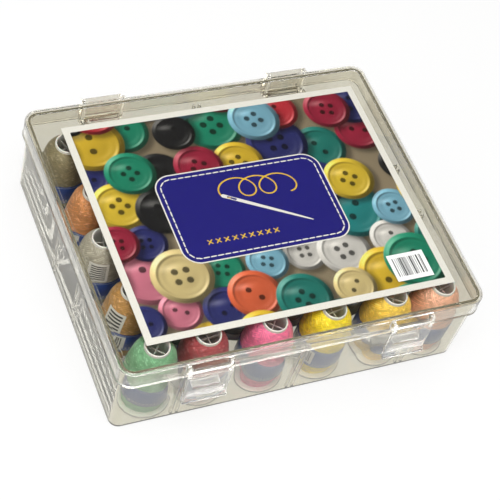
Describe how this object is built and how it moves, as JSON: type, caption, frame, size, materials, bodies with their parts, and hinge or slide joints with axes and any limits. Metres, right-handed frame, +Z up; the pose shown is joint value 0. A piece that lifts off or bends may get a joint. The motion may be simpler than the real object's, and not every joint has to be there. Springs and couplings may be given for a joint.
{
  "type": "thread spool storage box",
  "caption": "Clear hinged storage box with two front latches and a printed card in the lid, filled with upright cones of sewing thread.",
  "frame": {"origin": "centre of the tray's flat underside", "axes": "+X to the right along the length, +Y to the back where the hinges are, +Z up"},
  "size_m": [0.3036, 0.269, 0.0793],
  "materials": {
    "tray_plastic": "clear moulded plastic with a faint warm grey tint, polished",
    "lid_plastic": "clear moulded plastic with a faint warm grey tint, polished",
    "latch_plastic": "clear moulded plastic with a faint warm grey tint, polished",
    "pin_steel": "drawn wire, cut ends",
    "card_print": "printed card with a white border",
    "sticker_paper": "coated label paper",
    "core_plastic": "milky moulded plastic",
    "band_paper": "dark blue label paper with a plain bar panel",
    "thread_front_1": "green machine embroidery thread, wound, with a soft sheen",
    "thread_front_2": "dark red machine embroidery thread, wound, with a soft sheen",
    "thread_front_3": "pink machine embroidery thread, wound, with a soft sheen",
    "thread_front_4": "yellow machine embroidery thread, wound, with a soft sheen",
    "thread_front_5": "golden yellow machine embroidery thread, wound, with a soft sheen",
    "thread_front_6": "peach machine embroidery thread, wound, with a soft sheen",
    "thread_second_1": "bronze machine embroidery thread, wound, with a soft sheen",
    "thread_second_2": "bottle green machine embroidery thread, wound, with a soft sheen",
    "thread_second_3": "charcoal machine embroidery thread, wound, with a soft sheen",
    "thread_second_4": "chestnut machine embroidery thread, wound, with a soft sheen",
    "thread_second_5": "dark olive machine embroidery thread, wound, with a soft sheen",
    "thread_second_6": "aubergine machine embroidery thread, wound, with a soft sheen",
    "thread_middle_1": "silver grey machine embroidery thread, wound, with a soft sheen",
    "thread_middle_2": "navy machine embroidery thread, wound, with a soft sheen",
    "thread_middle_3": "orange machine embroidery thread, wound, with a soft sheen",
    "thread_middle_4": "white machine embroidery thread, wound, with a soft sheen",
    "thread_middle_5": "violet machine embroidery thread, wound, with a soft sheen",
    "thread_middle_6": "olive machine embroidery thread, wound, with a soft sheen",
    "thread_fourth_1": "copper machine embroidery thread, wound, with a soft sheen",
    "thread_fourth_2": "black machine embroidery thread, wound, with a soft sheen",
    "thread_fourth_3": "rose machine embroidery thread, wound, with a soft sheen",
    "thread_fourth_4": "mint machine embroidery thread, wound, with a soft sheen",
    "thread_fourth_5": "rust machine embroidery thread, wound, with a soft sheen",
    "thread_fourth_6": "royal blue machine embroidery thread, wound, with a soft sheen",
    "thread_back_1": "khaki machine embroidery thread, wound, with a soft sheen",
    "thread_back_2": "scarlet machine embroidery thread, wound, with a soft sheen",
    "thread_back_3": "turquoise machine embroidery thread, wound, with a soft sheen",
    "thread_back_4": "lemon machine embroidery thread, wound, with a soft sheen",
    "thread_back_5": "plum machine embroidery thread, wound, with a soft sheen",
    "thread_back_6": "sand machine embroidery thread, wound, with a soft sheen"
  },
  "bodies": {
    "tray": {"bands_back": "band_paper", "bands_fourth": "band_paper", "bands_front": "band_paper", "bands_middle": "band_paper", "bands_second": "band_paper", "base_tray": "tray_plastic", "cores_back": "core_plastic", "cores_fourth": "core_plastic", "cores_front": "core_plastic", "cores_middle": "core_plastic", "cores_second": "core_plastic", "hinge_pin_left": "pin_steel", "hinge_pin_right": "pin_steel", "thread_back_1": "thread_back_1", "thread_back_2": "thread_back_2", "thread_back_3": "thread_back_3", "thread_back_4": "thread_back_4", "thread_back_5": "thread_back_5", "thread_back_6": "thread_back_6", "thread_fourth_1": "thread_fourth_1", "thread_fourth_2": "thread_fourth_2", "thread_fourth_3": "thread_fourth_3", "thread_fourth_4": "thread_fourth_4", "thread_fourth_5": "thread_fourth_5", "thread_fourth_6": "thread_fourth_6", "thread_front_1": "thread_front_1", "thread_front_2": "thread_front_2", "thread_front_3": "thread_front_3", "thread_front_4": "thread_front_4", "thread_front_5": "thread_front_5", "thread_front_6": "thread_front_6", "thread_middle_1": "thread_middle_1", "thread_middle_2": "thread_middle_2", "thread_middle_3": "thread_middle_3", "thread_middle_4": "thread_middle_4", "thread_middle_5": "thread_middle_5", "thread_middle_6": "thread_middle_6", "thread_second_1": "thread_second_1", "thread_second_2": "thread_second_2", "thread_second_3": "thread_second_3", "thread_second_4": "thread_second_4", "thread_second_5": "thread_second_5", "thread_second_6": "thread_second_6"},
    "lid": {"lid_cover": "lid_plastic", "printed_card": "card_print", "bar_sticker": "sticker_paper", "latch_pin_left": "pin_steel", "latch_pin_right": "pin_steel"},
    "latch_left": {"latch_left": "latch_plastic"},
    "latch_right": {"latch_right": "latch_plastic"}
  },
  "joints": [
    {"name": "lid_hinge", "type": "hinge", "parent": "tray", "child": "lid", "pos_m": [0, 0.12843, 0.0557], "axis": [-1, 0, 0], "range_deg": [0, 110]},
    {"name": "latch_left_pivot", "type": "hinge", "parent": "lid", "child": "latch_left", "pos_m": [-0.084, -0.1303, 0.0713], "axis": [-1, 0, 0], "range_deg": [0, 100]},
    {"name": "latch_right_pivot", "type": "hinge", "parent": "lid", "child": "latch_right", "pos_m": [0.084, -0.1303, 0.0713], "axis": [-1, 0, 0], "range_deg": [0, 100]}
  ]
}
